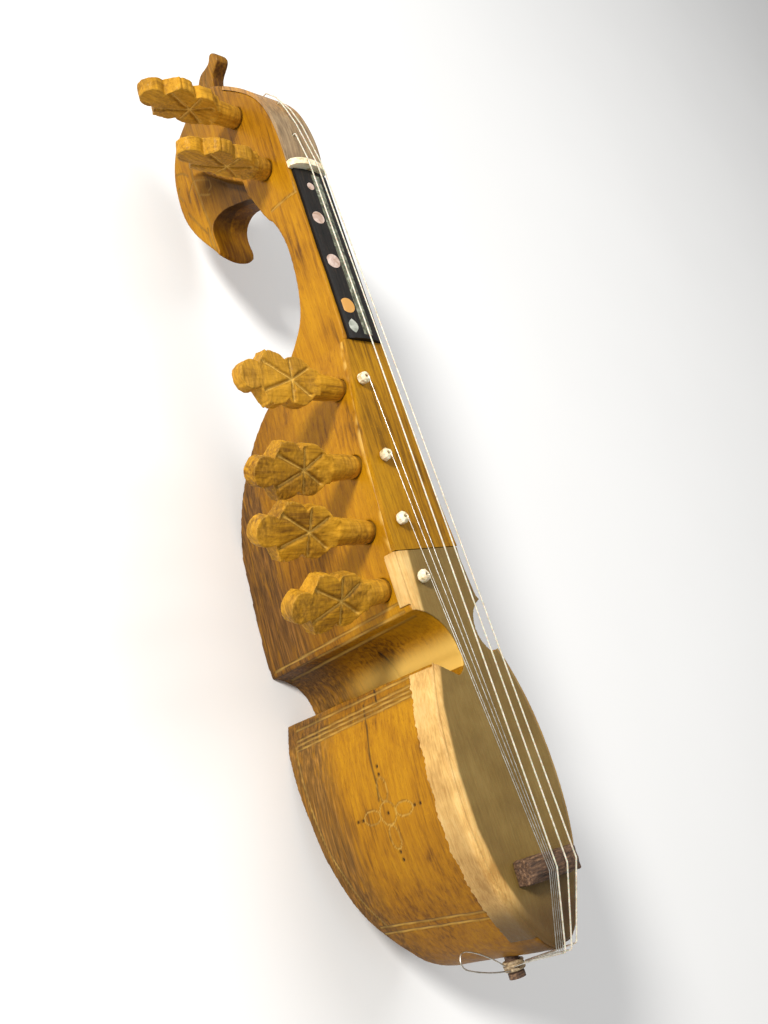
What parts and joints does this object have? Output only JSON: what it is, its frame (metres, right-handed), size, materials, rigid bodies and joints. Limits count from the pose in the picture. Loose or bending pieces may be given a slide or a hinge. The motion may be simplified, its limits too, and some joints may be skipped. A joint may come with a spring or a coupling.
{
  "type": "sarangi",
  "caption": "Folk sarangi, a short-necked bowed fiddle carved from one block of yellow varnished wood, with a skin belly, hooked head, inlaid board and flower-shaped tuning pegs",
  "frame": {"origin": "middle of the flat back that the instrument lies on, on its centre line", "axes": "+Y runs up the neck to the head, +Z is away from the floor through the strings, +X is to the right seen from the front; the tuning pegs of the thin strings are on the -X side"},
  "size_m": [0.1942, 0.6297, 0.1475],
  "materials": {
    "varnished_wood": "satin",
    "brown_wood": "satin",
    "grey_wood": "matte",
    "peg_wood": "satin",
    "bridge_wood": "matte",
    "dark_board": "satin",
    "skin": "matte",
    "pearl": "gloss",
    "orange_inlay": "gloss",
    "green_inlay": "gloss",
    "bone": "satin",
    "gut": "satin",
    "wire": "satin"
  },
  "bodies": {
    "instrument": {"carved_body": "varnished_wood", "skin_belly": "skin", "chest_plate": "brown_wood", "pegbox_cover": "grey_wood", "fingerboard": "dark_board", "pearl_inlay": "pearl", "inlay_dots": "orange_inlay", "inlay_leaf": "green_inlay", "nut": "bone", "bridge": "bridge_wood", "tail_pin": "bridge_wood", "tail_knots": "gut", "bead_1": "bone", "bead_2": "bone", "bead_3": "bone", "bead_4": "bone", "main_string_left": "gut", "main_string_middle": "gut", "main_string_right": "gut", "thin_string_1": "wire", "thin_string_2": "wire", "thin_string_3": "wire", "thin_string_4": "wire", "spare_loop": "wire"},
    "side_peg_1_body": {"side_peg_1": "peg_wood", "winding_side_peg_1": "wire"},
    "side_peg_2_body": {"side_peg_2": "peg_wood", "winding_side_peg_2": "wire"},
    "side_peg_3_body": {"side_peg_3": "peg_wood", "winding_side_peg_3": "wire"},
    "side_peg_4_body": {"side_peg_4": "peg_wood", "winding_side_peg_4": "wire"},
    "head_peg_lower_body": {"head_peg_lower": "peg_wood", "winding_head_peg_lower": "gut"},
    "head_peg_upper_body": {"head_peg_upper": "peg_wood", "winding_head_peg_upper": "gut"},
    "head_peg_right_body": {"head_peg_right": "peg_wood", "winding_head_peg_right": "gut"}
  },
  "joints": [
    {"name": "side_peg_1_turn", "type": "hinge", "parent": "instrument", "child": "side_peg_1_body", "pos_m": [-0.0207, 0.1254, 0.1195], "axis": [-0.9981, 0.061, 0], "continuous": true},
    {"name": "side_peg_2_turn", "type": "hinge", "parent": "instrument", "child": "side_peg_2_body", "pos_m": [-0.028, 0.075, 0.1185], "axis": [-0.999, -0.0436, 0], "continuous": true},
    {"name": "side_peg_3_turn", "type": "hinge", "parent": "instrument", "child": "side_peg_3_body", "pos_m": [-0.0313, 0.035, 0.116], "axis": [-0.9986, 0.0523, 0], "continuous": true},
    {"name": "side_peg_4_turn", "type": "hinge", "parent": "instrument", "child": "side_peg_4_body", "pos_m": [-0.0323, -0.0002, 0.115], "axis": [-0.9986, -0.0523, 0], "continuous": true},
    {"name": "head_peg_lower_turn", "type": "hinge", "parent": "instrument", "child": "head_peg_lower_body", "pos_m": [-0.0158, 0.2906, 0.1135], "axis": [-1, 0, 0], "continuous": true},
    {"name": "head_peg_upper_turn", "type": "hinge", "parent": "instrument", "child": "head_peg_upper_body", "pos_m": [-0.0158, 0.3402, 0.103], "axis": [-1, 0, 0], "continuous": true},
    {"name": "head_peg_right_turn", "type": "hinge", "parent": "instrument", "child": "head_peg_right_body", "pos_m": [0.0158, 0.353, 0.063], "axis": [1, 0, 0], "continuous": true}
  ]
}
